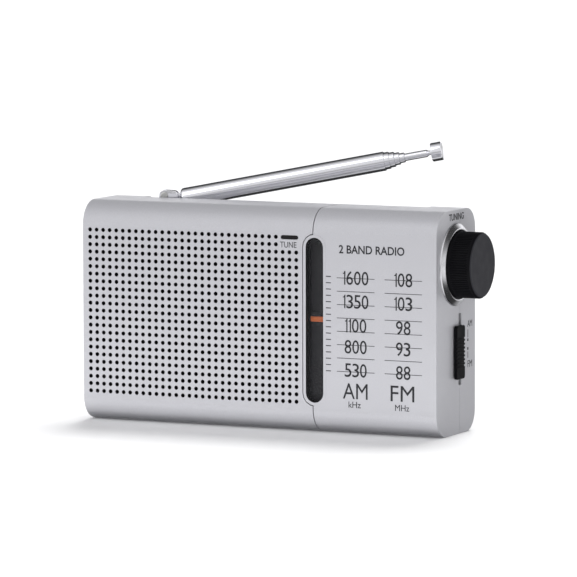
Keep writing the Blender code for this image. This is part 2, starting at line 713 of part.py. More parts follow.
def volume_control():
    """The potentiometer behind the thumbwheel."""
    return rod("volume_control", 5.7 * MM, 'Y', (VOLUME_X, VOLUME_Z), 5.5 * MM, BOARD_FRONT - GAP, STEEL, 24)


def earphone_jack():
    """The earphone socket: a body on the board and a nose in the end of the case."""
    item = block("earphone_jack", (-58.2 * MM, 4.6 * MM, JACK_Z - 3.0 * MM),
                 (-47.0 * MM, BOARD_FRONT - GAP, JACK_Z + 3.0 * MM), BLACK)
    nose = rod("jack_nose", 2.2 * MM, 'X', (JACK_Y, JACK_Z), LEFT + 0.1 * MM, -57.5 * MM, None, 20)
    bore = rod("jack_bore", 1.75 * MM, 'X', (JACK_Y, JACK_Z), LEFT - OVER, -49.5 * MM, None, 16)
    add(item, nose)
    return cut(item, bore)


def tune_lamp_lens():
    """The dark strip over the tuning lamp."""
    outline = round_box(8.3 * MM, 59.45 * MM, 14.1 * MM, 60.55 * MM, 0.5 * MM)
    return prism("tune_lamp_lens", [outline], 'Y', FRONT + 0.2 * MM, IN_FRONT + 0.3 * MM, LAMP)


def tune_lamp():
    """The small lamp behind the strip."""
    return block("tune_lamp", (9.7 * MM, -12.3 * MM, 58.6 * MM), (12.7 * MM, -10.2 * MM, 61.4 * MM), ORANGE)


# ---------------------------------------------------------------- board

def board_screw_places():
    """The screw's pillar first, then two plain rests."""
    return ((30.0 * MM, 25.0 * MM), (-30.0 * MM, 57.8 * MM), (-42.0 * MM, 24.0 * MM))


def circuit_board():
    """The main board, with its screw holes."""
    outline = round_box(BOARD_LEFT, BOARD_LOW, BOARD_RIGHT, BOARD_HIGH, 1.0 * MM)
    holes = [circle(place, 1.4 * MM, 12) for place in board_screw_places()]
    item = prism("circuit_board", [outline] + holes, 'Y', BOARD_FRONT, BOARD_FRONT + BOARD_T, BOARD)
    notch = keep_out("drum_room", (51.2 * MM, BOARD_FRONT - OVER, 45 * MM),
                     (FAR, BOARD_FRONT + OVER, 59.4 * MM))
    return cut(item, notch)


def board_screw():
    """The screw that holds the board to the rear shell."""
    y = BOARD_FRONT
    profile = [(0, y + BOARD_T), (1.0 * MM, y + BOARD_T), (1.0 * MM, y - GAP), (2.1 * MM, y - GAP),
               (2.1 * MM, y - 1.2 * MM), (1.7 * MM, y - 1.7 * MM), (0, y - 1.7 * MM)]
    place = board_screw_places()[0]
    return turned("board_screw", profile, 'Y', (place[0], 0, place[1]), STEEL, 12)


def on_board(x, z, width, height, depth):
    """A box of the given size standing on the board."""
    rear = BOARD_FRONT - GAP
    return ((x - width / 2, rear - depth, z - height / 2), (x + width / 2, rear, z + height / 2))


def radio_chip():
    """The receiver's integrated circuit."""
    low, high = on_board(18 * MM, 38 * MM, 7 * MM, 18 * MM, 2.4 * MM)
    return block("radio_chip", low, high, BLACK)


def if_transformer():
    """The screened coil, with its tuning slug's hole."""
    low, high = on_board(40 * MM, 30 * MM, 7 * MM, 7 * MM, 5.5 * MM)
    item = block("if_transformer", low, high, SATIN)
    return cut(item, rod("slug_hole", 1.7 * MM, 'Y', (40 * MM, 30 * MM), 3 * MM, 5 * MM, None, 12))


def ceramic_filter():
    """The small ceramic filter."""
    low, high = on_board(26 * MM, 49 * MM, 5 * MM, 2.6 * MM, 5.5 * MM)
    return block("ceramic_filter", low, high, ORANGE)


def electrolytic_capacitor():
    """The largest capacitor on the board."""
    front = 0.5 * MM
    rear = BOARD_FRONT - GAP
    return rod("electrolytic_capacitor", 3.2 * MM, 'Y', (2 * MM, 44 * MM), front, rear, JACKET, 20)


def ferrite_rod():
    """The medium wave aerial rod."""
    return rod("ferrite_rod", 4.0 * MM, 'X', (-0.3 * MM, 57.6 * MM), -50 * MM, 26 * MM, FERRITE, 20)


def ferrite_coil():
    """The winding on the rod."""
    profile = [(5.3 * MM, 9 * MM), (5.3 * MM, -9 * MM), (4.3 * MM, -9 * MM), (4.3 * MM, 9 * MM)]
    return turned("ferrite_coil", profile, 'X', (14 * MM, -0.3 * MM, 57.6 * MM), COPPER, 20, True)


def ferrite_holder():
    """Two forks on one bar, which hold the rod off the board."""
    low = 51.8 * MM
    item = block("ferrite_holder", (-44 * MM, 6.5 * MM, low), (-4 * MM, BOARD_FRONT - GAP, 53.8 * MM), BEIGE)
    for index, x in enumerate((-44 * MM, -4 * MM)):
        add(item, block("holder_fork_%d" % index, (x - 1.5 * MM, -3.0 * MM, low),
                        (x + 1.5 * MM, BOARD_FRONT - GAP, 60.6 * MM)))
    return cut(item, rod("holder_bore", 4.3 * MM, 'X', (-0.3 * MM, 57.6 * MM), -60 * MM, 40 * MM, None, 20))


# ---------------------------------------------------------------- speaker

def speaker_screw_places():
    """Three places round the speaker's rim, in (X, Z)."""
    reach = SPEAKER_R + 2.0 * MM
    places = []
    for angle in (60, 180, 300):
        turn = radians(angle)
        places.append((SPEAKER_X + reach * cos(turn), SPEAKER_Z + reach * sin(turn)))
    return places


def speaker_frame():
    """The pressed steel basket with four windows."""
    rim = SPEAKER_R
    front = SPEAKER_FRONT
    deep = -4.4 * MM
    window_reach = 20.5 * MM
    flange = front + 1.6 * MM
    hub = -3.6 * MM
    profile = [(16 * MM, hub), (16.4 * MM, hub), (25.6 * MM, flange), (rim, flange), (rim, front),
               (25.0 * MM, front), (15.6 * MM, deep), (4.6 * MM, deep), (4.6 * MM, hub)]
    item = turned("speaker_frame", profile, 'Y', (SPEAKER_X, 0, SPEAKER_Z), STEEL, 28, True)
    for index in range(4):
        angle = radians(45 + 90 * index)
        place = (SPEAKER_X + window_reach * cos(angle), SPEAKER_Z + window_reach * sin(angle))
        window = rod("basket_window_%d" % index, 4.6 * MM, 'Y', place, -12 * MM, 0, None, 10)
        cut(item, window)
    return item


def speaker_magnet():
    """The magnet and its plates."""
    profile = [(0, 3.2 * MM), (10.5 * MM, 3.2 * MM), (10.5 * MM, 2.2 * MM), (MAGNET_R, 2.2 * MM),
               (MAGNET_R, -3.3 * MM), (0, -3.3 * MM)]
    return turned("speaker_magnet", profile, 'Y', (SPEAKER_X, 0, SPEAKER_Z), FERRITE, 24)


def speaker_cone():
    """The paper cone with its roll and dust cap."""
    front = SPEAKER_FRONT
    top = front + 0.3 * MM
    profile = [(0, -6.2 * MM), (5.2 * MM, -5.0 * MM), (13.5 * MM, -5.4 * MM), (21.0 * MM, top + 1.0 * MM),
               (23.4 * MM, top + 0.5 * MM), (23.4 * MM, top), (20.5 * MM, top), (12.0 * MM, -6.6 * MM),
               (5.4 * MM, -6.6 * MM), (3.0 * MM, -7.6 * MM), (0, -8.0 * MM)]
    return turned("speaker_cone", profile, 'Y', (SPEAKER_X, 0, SPEAKER_Z), PAPER, 28)


def speaker_screws():
    """Three screws whose heads clamp the speaker's rim."""
    profile = [(0, -9.4 * MM), (2.2 * MM, -9.4 * MM), (2.7 * MM, -9.8 * MM), (2.7 * MM, -10.5 * MM),
               (0.7 * MM, -10.5 * MM), (0.7 * MM, -12.2 * MM), (0, -12.2 * MM)]
    for index, place in enumerate(speaker_screw_places()):
        turned("speaker_screw_%d" % (index + 1), profile, 'Y', (place[0], 0, place[1]), STEEL, 12)


# ---------------------------------------------------------------- batteries

def battery_cell(name, start):
    """An AA cell with its positive tip towards +X."""
    tip_r = 2.6 * MM
    edge = 0.4 * MM
    shoulder = CELL_L - 1.2 * MM
    profile = [(0, CELL_L), (tip_r, CELL_L), (tip_r, shoulder), (CELL_R - edge, shoulder),
               (CELL_R, shoulder - edge), (CELL_R, edge), (CELL_R - edge, 0), (0, 0)]
    return turned(name, profile, 'X', (start, CELL_Y, CELL_Z), JACKET, 24)


def battery_spring():
    """The negative spring at the left end of the bay."""
    points = []
    turns = 3
    steps = 8 * turns
    for i in range(steps + 1):
        angle = 2 * pi * turns * i / steps
        radius = 4.4 * MM - 1.6 * MM * i / steps
        x = BAY_LEFT + BAY_WALL + 0.7 * MM + 1.0 * MM * i / steps
        points.append((x, CELL_Y + radius * cos(angle), CELL_Z + radius * sin(angle)))
    return wire("battery_spring", [points], 0.12 * MM, STEEL)


def battery_contact():
    """The positive contact plate at the right end of the bay."""
    x = BAY_RIGHT - BAY_WALL
    return block("battery_contact", (x - 0.8 * MM, CELL_Y - 4 * MM, CELL_Z - 4 * MM),
                 (x - 0.3 * MM, CELL_Y + 4 * MM, CELL_Z + 4 * MM), BRASS)


# ---------------------------------------------------------------- antenna

def antenna_frame(raised):
    """The matrix that puts antenna pieces, built along +X from the pivot, in their place."""
    turn = Matrix.Rotation(SWING, 4, 'Z')
    if raised:
        turn = turn @ Matrix.Rotation(-RAISE, 4, 'Y')
    return Matrix.Translation(PIVOT) @ turn


def place_antenna(item, raised=True):
    """Move a piece from the pivot's own axes to its place in the radio."""
    item.matrix_world = antenna_frame(raised) @ item.matrix_world
    return item


def antenna_swivel():
    """The clevis that turns on the case: a base and two ears."""
    base = RECESS_Z + GAP - PIVOT.z
    item = rod("antenna_swivel", 3.4 * MM, 'Z', (0, 0), base, base + 1.2 * MM, CHROME, 24)
    ear_outline = [(-2.4 * MM, base + 0.8 * MM), (4.2 * MM, base + 0.8 * MM)]
    ear_outline += arc((RIVET_X, 0), 1.5 * MM, 0, 90, 4) + arc((0, 0), 1.7 * MM, 90, 190, 6)
    tools = [prism("swivel_ear_%d" % i, [ear_outline], 'Y', low, high)
             for i, (low, high) in enumerate(((-2.5 * MM, -1.3 * MM), (1.3 * MM, 2.5 * MM)))]
    tools.append(rod("swivel_rivet", 1.1 * MM, 'Y', (RIVET_X, 0), -2.85 * MM, -2.0 * MM, None, 16))
    pin_hole = rod("swivel_pin_hole", 0.9 * MM, 'Y', (0, 0), -5 * MM, 5 * MM, None, 16)
    stud_hole = rod("swivel_stud_hole", 1.3 * MM, 'Z', (0, 0), base - 2 * MM, base + 3 * MM, None, 16)
    add(item, *tools)
    cut(item, pin_hole, stud_hole)
    for piece in [item, pin_hole, stud_hole] + tools:
        place_antenna(piece, False)
    return item


def antenna_screw():
    """The screw that holds the swivel to the recess floor, from inside the case."""
    floor = RECESS_Z - WALL
    profile = [(0, floor + 3.0 * MM), (1.0 * MM, floor + 3.0 * MM), (1.0 * MM, floor - GAP),
               (2.4 * MM, floor - GAP), (2.4 * MM, floor - 1.3 * MM), (0, floor - 1.3 * MM)]
    return turned("antenna_screw", profile, 'Z', (PIVOT.x, PIVOT.y, 0), STEEL, 16)


def antenna_tilt_pin():
    """The rivet through the ears."""
    pin_r = 0.7 * MM
    end = 2.9 * MM
    head = 2.7 * MM
    profile = [(0, end), (0.9 * MM, end), (1.2 * MM, head), (pin_r, head), (pin_r, -head), (1.2 * MM, -head),
               (0.9 * MM, -end), (0, -end)]
    item = turned("antenna_tilt_pin", profile, 'Y', (0, 0, 0), STEEL, 16)
    return place_antenna(item, False)


SECTIONS = (
    # outer radius, bore radius
    (3.10 * MM, 2.88 * MM),
    (2.76 * MM, 2.56 * MM),
    (2.44 * MM, 2.20 * MM),
    (2.02 * MM, 1.80 * MM),
    (1.60 * MM, 1.38 * MM),
)
ROD_R = 1.2 * MM
NECK_R = 0.7 * MM
NEST = 1.1 * MM


def section_profile(index):
    """A tube's section as (radius, distance from the pivot), closed at its inner end by a plug."""
    outer, bore = SECTIONS[index]
    start = TUBE_START + 1.5 * MM + NEST * index
    end = TUBE_END + SECTION_STEP * index
    floor = start + 0.6 * MM
    return [(0, floor), (bore, floor), (bore, end), (outer - 0.08 * MM, end), (outer, end - 0.3 * MM),
            (outer, start), (0, start)]


def antenna_tube():
    """The outer tube with its flat tongue between the swivel's ears."""
    outer, bore = SECTIONS[0]
    end = TUBE_END
    plug = TUBE_START + 1.2 * MM
    profile = [(0, plug), (bore, plug), (bore, end), (outer - 0.15 * MM, end), (outer, end - 0.5 * MM),
               (outer, TUBE_START + 0.3 * MM), (outer - 0.4 * MM, TUBE_START), (0, TUBE_START)]
    item = turned("antenna_tube", profile, 'X', (0, 0, -TUBE_DROP), CHROME, 16)
    tongue_outline = arc((0, 0), 1.6 * MM, 90, 235, 6)
    tongue_low = -3.4 * MM
    tongue_end = 6.0 * MM
    tongue_outline += [(1.2 * MM, tongue_low), (tongue_end, tongue_low), (tongue_end, 0.6 * MM),
                       (3.0 * MM, 1.6 * MM)]
    tongue = prism("tongue", [tongue_outline], 'Y', -1.0 * MM, 1.0 * MM)
    inside = rod("tube_keep", bore, 'X', (0, -TUBE_DROP), plug, 12 * MM, None, 16)
    hole = rod("tongue_hole", 0.95 * MM, 'Y', (0, 0), -3 * MM, 3 * MM, None, 16)
    add(item, tongue)
    cut(item, inside, hole)
    for piece in (item, tongue, inside, hole):
        place_antenna(piece)
    return item


def antenna_sections():
    """The nested tubes."""
    for index in range(1, len(SECTIONS)):
        name = "antenna_section_%d" % (index + 1)
        place_antenna(turned(name, section_profile(index), 'X', (0, 0, -TUBE_DROP), CHROME, 16))


def antenna_rod():
    """The solid innermost rod, with a thinner neck."""
    start = TUBE_START + 1.5 * MM + NEST * len(SECTIONS)
    neck = TIP_END - 5.0 * MM
    end = TIP_END - 2.4 * MM
    profile = [(0, end), (NECK_R, end), (NECK_R, neck + 0.8 * MM), (ROD_R, neck), (ROD_R, start), (0, start)]
    return place_antenna(turned("antenna_rod", profile, 'X', (0, 0, -TUBE_DROP), CHROME, 16))


def antenna_tip():
    """The round button on the rod's end."""
    back = TIP_END - 3.5 * MM
    bore = NECK_R + GAP
    seat = TIP_END - 2.1 * MM
    edge = 0.4 * MM
    profile = [(0, TIP_END), (TIP_R - edge, TIP_END), (TIP_R, TIP_END - edge), (TIP_R, back + 0.15 * MM),
               (TIP_R - 0.15 * MM, back), (bore, back), (bore, seat), (0, seat)]
    return place_antenna(turned("antenna_tip", profile, 'X', (0, 0, -TUBE_DROP), CHROME, 16))


# ---------------------------------------------------------------- wiring

def speaker_lead():
    """The flat twin lead from the speaker to the board."""
    path = [(-4.0 * MM, -2.9 * MM, 30 * MM), (-2.5 * MM, 0, 30 * MM), (-2 * MM, 4 * MM, 30.6 * MM),
            (-2 * MM, 9.1 * MM, 30 * MM)]
    return wire("speaker_lead", [path], 0.6 * MM, WIRE)


def build():
    """Make every piece."""
    front_grille_cover()
    front_dial_cover()
    rear_shell()
    battery_door()
    case_screws()
    dial_window_frame()
    dial_window_lens()
    dial_chassis()
    dial_pointer()
    pointer_carriage()
    cord_rollers()
    dial_cord()
    tuning_knob()
    knob_bezel_ring()
    tuning_shaft()
    cord_drum()
    tuning_capacitor()
    band_switch_cap()
    band_switch_body()
    volume_wheel()
    volume_control()
    earphone_jack()
    tune_lamp_lens()
    tune_lamp()
    circuit_board()
    board_screw()
    radio_chip()
    if_transformer()
    ceramic_filter()
    electrolytic_capacitor()
    ferrite_rod()
    ferrite_coil()
    ferrite_holder()
    speaker_frame()
    speaker_magnet()
    speaker_cone()
    speaker_screws()
    battery_cell("battery_cell_left", -50.0 * MM)
    battery_cell("battery_cell_right", 0.4 * MM)
    battery_spring()
    battery_contact()
    antenna_swivel()
    antenna_screw()
    antenna_tilt_pin()
    antenna_tube()
    antenna_sections()
    antenna_rod()
    antenna_tip()
    speaker_lead()


build()
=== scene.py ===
import json
from math import cos, pi, radians, sin

import bmesh
import bpy
from mathutils import Euler, Matrix, Vector

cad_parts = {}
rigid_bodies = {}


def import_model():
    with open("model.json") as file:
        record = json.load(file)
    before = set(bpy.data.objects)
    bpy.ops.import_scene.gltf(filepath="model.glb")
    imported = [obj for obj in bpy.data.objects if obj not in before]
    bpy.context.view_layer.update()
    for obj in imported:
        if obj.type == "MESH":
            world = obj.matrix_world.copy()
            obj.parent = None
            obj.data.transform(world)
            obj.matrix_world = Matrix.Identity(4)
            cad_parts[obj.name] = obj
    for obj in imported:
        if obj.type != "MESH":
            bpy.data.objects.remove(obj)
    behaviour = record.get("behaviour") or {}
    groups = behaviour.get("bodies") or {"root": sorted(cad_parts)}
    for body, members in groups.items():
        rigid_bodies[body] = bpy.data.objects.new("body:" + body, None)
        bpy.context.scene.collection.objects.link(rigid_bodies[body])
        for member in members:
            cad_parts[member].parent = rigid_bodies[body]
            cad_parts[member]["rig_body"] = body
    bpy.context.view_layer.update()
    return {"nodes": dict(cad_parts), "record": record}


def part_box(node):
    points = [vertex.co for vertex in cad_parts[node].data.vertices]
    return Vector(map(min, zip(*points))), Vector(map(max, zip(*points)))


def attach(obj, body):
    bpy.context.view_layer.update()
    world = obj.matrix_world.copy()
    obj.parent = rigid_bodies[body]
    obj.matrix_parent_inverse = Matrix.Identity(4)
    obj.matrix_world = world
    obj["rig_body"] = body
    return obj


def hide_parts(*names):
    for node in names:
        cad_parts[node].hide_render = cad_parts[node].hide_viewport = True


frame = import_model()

# The looks of the pocket radio: lights, camera, materials and the finished pieces. Metres, +Z up.

MM = 0.001
NODES = frame["nodes"]
JOINTS = {joint["name"]: joint for joint in frame["record"]["behaviour"]["joints"]}

# Case, as in the CAD
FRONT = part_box("front_grille_cover")[0].y
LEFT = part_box("front_grille_cover")[0].x
RIGHT = -LEFT
REAR = -FRONT
WALL = 1.8 * MM

# Grille: columns run from the left, rows from the top
PITCH = 2.3 * MM
FIRST_X = -57.8 * MM
FIRST_Z = 60.0 * MM
COLUMNS = 32
ROWS = 23
SHORT_ROWS = 2
SHORT_COLUMNS = 29
SPEAKER_COLUMN = 17
SPEAKER_ROW = 11.2
SPEAKER_REACH = 11.5
HOLE_R = 0.66 * MM
DIMPLE_DEPTH = 1.45 * MM

# Window and dial
WINDOW_X = 19.65 * MM
WINDOW_LOW = 9.4 * MM
WINDOW_HIGH = 60.2 * MM
WINDOW_R = 2.95 * MM
LETTER_WEIGHT = 0.003
BOLD_WEIGHT = 0.018
INK = 0.03 * MM
SUNK = 0.02 * MM

# Knob and its ring
KNOB_Z = JOINTS["tuning_turn"]["pos_m"][2]
KNOB_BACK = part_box("tuning_knob")[0].x
KNOB_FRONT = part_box("tuning_knob")[1].x
KNOB_R = 10.15 * MM
SKIRT_R = 10.25 * MM
KNOB_RIBS = 84
BEZEL_R = 12.55 * MM
BEZEL_BORE = 10.45 * MM
BEZEL_PROUD = 1.45 * MM

# Antenna
PIVOT = Vector(JOINTS["antenna_tilt"]["pos_m"])
TUBE_DROP = 1.8 * MM
TUBE_START = 4.9 * MM
TUBE_END = 70.5 * MM
SECTION_STEP = 1.6 * MM
TIP_END = 88.9 * MM
TIP_R = 3.0 * MM
ROD_R = 1.2 * MM
TUBE_RADII = (3.10, 2.76, 2.44, 2.02, 1.60)
TUBE_BORES = (2.88, 2.56, 2.20, 1.80, 1.38)
MOUTH_LINES = (0, 1, 2, 3)      # the lines of a tube's profile that lie inside its mouth, painted near-black as shade

# Grip ribs on the battery door
GRIP_RIBS = 5
GRIP_PITCH = 2.6 * MM
GRIP_HALF = 0.55 * MM
GRIP_SUNK = 0.5 * MM
GRIP_PROUD = 0.35 * MM
GRIP_LOW = 10.2 * MM
GRIP_HIGH = 16.4 * MM

# The camera at the photograph's angle: metres, degrees and millimetres
CAMERA_PLACE = (0.64760, -1.34603, 0.19083)
CAMERA_TURN = (84.3271, 0.1344, 25.5492)
CAMERA_LENS = 301.8

# The surround's grey by angle round the X axis, as studio_sky takes it
SKY = ((-180, 0.6), (-158, 0.55), (-142, 0.04), (-98, 0.04), (-80, 1.0), (-30, 1.05), (-8, 0.42),
       (8, 0.85), (72, 0.9), (95, 0.35), (118, 0.05), (152, 0.05), (164, 1.2), (180, 1.1))


# ---------------------------------------------------------------- camera, lights and floor

def look_through(place, turn, lens):
    """The camera at the photograph's viewing angle."""
    data = bpy.data.cameras.new("camera")
    data.lens = lens
    data.sensor_width = 36.0
    data.clip_start = 0.05
    data.clip_end = 20.0
    camera = bpy.data.objects.new("camera", data)
    bpy.context.scene.collection.objects.link(camera)
    camera.location = place
    camera.rotation_euler = Euler([radians(angle) for angle in turn], 'XYZ')
    bpy.context.scene.camera = camera


def softbox(name, place, aim, size, power):
    """A rectangular lamp turned towards a point."""
    data = bpy.data.lights.new(name, 'AREA')
    data.shape = 'RECTANGLE'
    data.size, data.size_y = size
    data.energy = power
    lamp = bpy.data.objects.new(name, data)
    bpy.context.scene.collection.objects.link(lamp)
    lamp.location = place
    lamp.rotation_euler = (Vector(aim) - Vector(place)).to_track_quat('-Z', 'Y').to_euler()
    return lamp


def daylight(strength, spread, lean):
    """A very soft lamp from above, which lights the whole floor evenly and doesn't show in reflections."""
    data = bpy.data.lights.new("daylight", 'SUN')
    data.energy = strength
    data.angle = radians(spread)
    lamp = bpy.data.objects.new("daylight", data)
    lamp.visible_glossy = False
    lamp.rotation_euler = (radians(lean), 0, 0)
    bpy.context.scene.collection.objects.link(lamp)
    return lamp


def studio_sky(stops, strength=1.0):
    """A studio surround that changes round the X axis.

    stops are (degrees, grey): 0 is the horizon in front of the radio, 90 is overhead, 180 is the horizon
    behind it and -90 is straight down.
    """
    world = bpy.data.worlds.new("studio")
    bpy.context.scene.world = world
    world.use_nodes = True
    tree = world.node_tree
    place = tree.nodes.new('ShaderNodeTexCoord')
    split = tree.nodes.new('ShaderNodeSeparateXYZ')
    forward = tree.nodes.new('ShaderNodeMath')
    forward.operation = 'MULTIPLY'
    forward.inputs[1].default_value = -1.0
    turn = tree.nodes.new('ShaderNodeMath')
    turn.operation = 'ARCTAN2'
    span = tree.nodes.new('ShaderNodeMapRange')
    span.inputs["From Min"].default_value = -pi
    span.inputs["From Max"].default_value = pi
    ramp = tree.nodes.new('ShaderNodeValToRGB')
    tree.links.new(place.outputs["Generated"], split.inputs[0])
    tree.links.new(split.outputs["Y"], forward.inputs[0])
    tree.links.new(split.outputs["Z"], turn.inputs[0])
    tree.links.new(forward.outputs[0], turn.inputs[1])
    tree.links.new(turn.outputs[0], span.inputs["Value"])
    tree.links.new(span.outputs[0], ramp.inputs[0])
    set_stops(ramp, [((angle + 180) / 360, (grey, grey, grey * 1.02)) for angle, grey in stops])
    back = tree.nodes["Background"]
    back.inputs["Strength"].default_value = strength
    tree.links.new(ramp.outputs[0], back.inputs["Color"])


def set_stops(ramp, stops):
    """Fill a colour ramp with (position, colour) stops."""
    elements = ramp.color_ramp.elements
    while len(elements) < len(stops):
        elements.new(1.0)
    for element, (position, colour) in zip(elements, stops):
        element.position = position
        element.color = (*colour, 1.0)


def floor():
    """A wide pale floor, just under the radio's base so that the two don't share a plane."""
    mesh = bpy.data.meshes.new("floor")
    reach = 6.0
    mesh.from_pydata([(-reach, -reach, 0), (reach, -reach, 0), (reach, reach, 0), (-reach, reach, 0)], [],
                     [(0, 1, 2, 3)])
    item = bpy.data.objects.new("floor", mesh)
    bpy.context.scene.collection.objects.link(item)
    mesh.materials.append(surface("floor_paint", (0.93, 0.93, 0.93), 0.7, grain=60, mottle=0.004))
    item.visible_glossy = False
    item.location.z = -0.02 * MM


# ---------------------------------------------------------------- materials

def surface(name, colour, roughness, metallic=0.0, grain=1500.0, mottle=0.05, polish=0.05, bump=0.0,
            stretch=(1, 1, 1), coat=0.0, sheen=0.0, specular=0.5):
    """A Principled surface with uneven colour, uneven polish and a fine grain.

    grain is in cycles a metre, bump is the grain's height in metres, and stretch scales the grain along
    each axis, so that a small number draws it out into brushing.
    """
    made = bpy.data.materials.new(name)
    made.use_nodes = True
    tree = made.node_tree
    shader = tree.nodes["Principled BSDF"]
    shader.inputs["Metallic"].default_value = metallic
    shader.inputs["Coat Weight"].default_value = coat
    shader.inputs["Coat Roughness"].default_value = 0.12
    shader.inputs["Sheen Weight"].default_value = sheen
    shader.inputs["Specular IOR Level"].default_value = specular
    place = tree.nodes.new('ShaderNodeTexCoord')
    scale = tree.nodes.new('ShaderNodeMapping')
    scale.inputs["Scale"].default_value = stretch
    tree.links.new(place.outputs["Object"], scale.inputs["Vector"])

    def noise(cycles, detail):
        node = tree.nodes.new('ShaderNodeTexNoise')
        node.inputs["Scale"].default_value = cycles
        node.inputs["Detail"].default_value = detail
        tree.links.new(scale.outputs[0], node.inputs["Vector"])
        return node.outputs["Fac"]

    fine = noise(grain, 3)
    broad = noise(grain / 14, 2)
    ramp = tree.nodes.new('ShaderNodeValToRGB')
    set_stops(ramp, [(0.3, [c * (1 - mottle) for c in colour]), (0.7, [c * (1 + mottle) for c in colour])])
    tree.links.new(fine, ramp.inputs[0])
    tree.links.new(ramp.outputs[0], shader.inputs["Base Color"])
    gloss = tree.nodes.new('ShaderNodeMapRange')
    gloss.inputs["From Min"].default_value = 0.3
    gloss.inputs["From Max"].default_value = 0.7
    gloss.inputs["To Min"].default_value = max(0.02, roughness - polish)
    gloss.inputs["To Max"].default_value = roughness + polish
    tree.links.new(broad, gloss.inputs["Value"])
    tree.links.new(gloss.outputs[0], shader.inputs["Roughness"])
    if bump:
        relief = tree.nodes.new('ShaderNodeBump')
        relief.inputs["Distance"].default_value = bump
        tree.links.new(fine, relief.inputs["Height"])
        tree.links.new(relief.outputs[0], shader.inputs["Normal"])
    return made


def clear_plastic(name, colour, roughness, shown):
    """Clear moulded plastic, of which a small share shows."""
    made = surface(name, colour, roughness, grain=300, mottle=0.01, polish=0.01)
    made.node_tree.nodes["Principled BSDF"].inputs["Alpha"].default_value = shown
    return made


# surface() takes name, colour, roughness, metallic, grain, mottle, polish, bump and stretch, in that order
FINISHES = {
    "silver_plastic": surface("silver_paint", (0.46, 0.46, 0.485), 0.33, 0.3, 5200, 0.07, 0.04, 0.000006),
    "black_plastic": surface("black_moulding", (0.0035, 0.0035, 0.0045), 0.5, 0.0, 4000, 0.12, 0.05,
                             0.000008, specular=0.07),
    "chrome": surface("chrome_plate", (0.90, 0.90, 0.93), 0.05, 1.0, 2200, 0.02, 0.02),
    "satin_metal": surface("satin_ring", (0.82, 0.82, 0.84), 0.2, 1.0, 3000, 0.03, 0.04, 0.000002,
                           (1, 0.2, 0.2)),
    "dial_plastic": surface("dark_dial", (0.016, 0.016, 0.018), 0.4, 0.0, 3000, 0.1, 0.05, 0.000004),
    "pointer_orange": surface("orange_pointer", (0.62, 0.15, 0.04), 0.35, 0.0, 1800, 0.04, 0.05, 0.000002),
    "clear_lens": clear_plastic("window_plastic", (0.05, 0.05, 0.055), 0.05, 0.13),
    "lamp_lens": surface("lamp_strip", (0.004, 0.003, 0.004), 0.3, 0.0, 1200, 0.1, 0.03, specular=0.3),
    "circuit_board": surface("resin_board", (0.40, 0.25, 0.09), 0.5, 0.0, 900, 0.18, 0.08, 0.00001,
                             (1, 1, 4)),
    "beige_plastic": surface("natural_nylon", (0.62, 0.56, 0.42), 0.48, 0.0, 1600, 0.05, 0.06, 0.00001),
    "plated_steel": surface("plated_steel_sheet", (0.56, 0.56, 0.54), 0.3, 1.0, 2600, 0.08, 0.08, 0.000006,
                            (1, 1, 0.2)),
    "brass_metal": surface("turned_brass", (0.72, 0.52, 0.2), 0.28, 1.0, 2600, 0.08, 0.08, 0.000006,
                           (0.2, 1, 1)),
    "copper_wire": surface("enamelled_copper", (0.62, 0.26, 0.12), 0.3, 1.0, 3600, 0.2, 0.06, 0.00006,
                           (6, 0.2, 0.2)),
    "ferrite": surface("sintered_ferrite", (0.04, 0.04, 0.045), 0.7, 0.0, 2600, 0.25, 0.08, 0.00002),
    "cone_paper": surface("pressed_paper", (0.022, 0.022, 0.024), 0.9, 0.0, 2400, 0.3, 0.05, 0.00004,
                          sheen=0.1),
    "nylon_cord": surface("twisted_nylon", (0.60, 0.55, 0.45), 0.8, 0.0, 5200, 0.15, 0.05, 0.00005,
                          sheen=0.2),
    "cell_jacket": surface("printed_sleeve", (0.05, 0.12, 0.30), 0.32, 0.0, 700, 0.1, 0.05, 0.000004,
                           coat=0.3),
    "wire_sleeve": surface("wire_sleeve_vinyl", (0.42, 0.03, 0.03), 0.45, 0.0, 2000, 0.08, 0.06, 0.000006),
}
# Painted shade: near-black for hole walls, screw recesses, the window's bore and tube mouths, really silver
# or chrome in shade
PAINTED_SHADE = surface("painted_shade_black", (0.004, 0.004, 0.005), 0.7, 0.0, 3000, 0.1, 0.05)
KNOB_FACE = surface("knob_face", (0.020, 0.020, 0.025), 0.6, 0.0, 4800, 0.1, 0.04, 0.000006, specular=0.3)
PRINT = surface("dial_print", (0.012, 0.012, 0.015), 0.6, 0.0, 3000, 0.1, 0.05)
PALE_PRINT = surface("line_print", (0.05, 0.05, 0.055), 0.6, 0.0, 3000, 0.1, 0.05)


# ---------------------------------------------------------------- mesh helpers

def new_object(name, mesh, finish):
    """An object in the scene with one finish."""
    item = bpy.data.objects.new(name, mesh)
    bpy.context.scene.collection.objects.link(item)
    mesh.materials.clear()
    mesh.materials.append(FINISHES.get(finish, finish))
    return item


def ride_as(item, node):
    """The piece stands for a CAD node and moves with its body."""
    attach(item, NODES[node]["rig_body"])
    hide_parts(node)
    return item


def ride_on(item, body):
    """The piece is an addition to a body."""
    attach(item, body)
    return item


def soften(item, angle=32):
    """Smooth shading, with sharp edges kept and flat faces kept flat."""
    item.data.shade_smooth()
    item.data.set_sharp_from_angle(angle=radians(angle))
    even = item.modifiers.new("even", 'WEIGHTED_NORMAL')
    even.keep_sharp = True
    even.weight = 100
    return item


def round_edges(item, width, segments=2, angle=32):
    """A small round on every sharp edge."""
    bevel = item.modifiers.new("round", 'BEVEL')
    bevel.width = width
    bevel.segments = segments
    bevel.limit_method = 'ANGLE'
    bevel.angle_limit = radians(angle)
    return item


def fixed(item):
    """Write the piece's modifiers into its mesh."""
    graph = bpy.context.evaluated_depsgraph_get()
    mesh = bpy.data.meshes.new_from_object(item.evaluated_get(graph))
    item.modifiers.clear()
    item.data = mesh
    return item


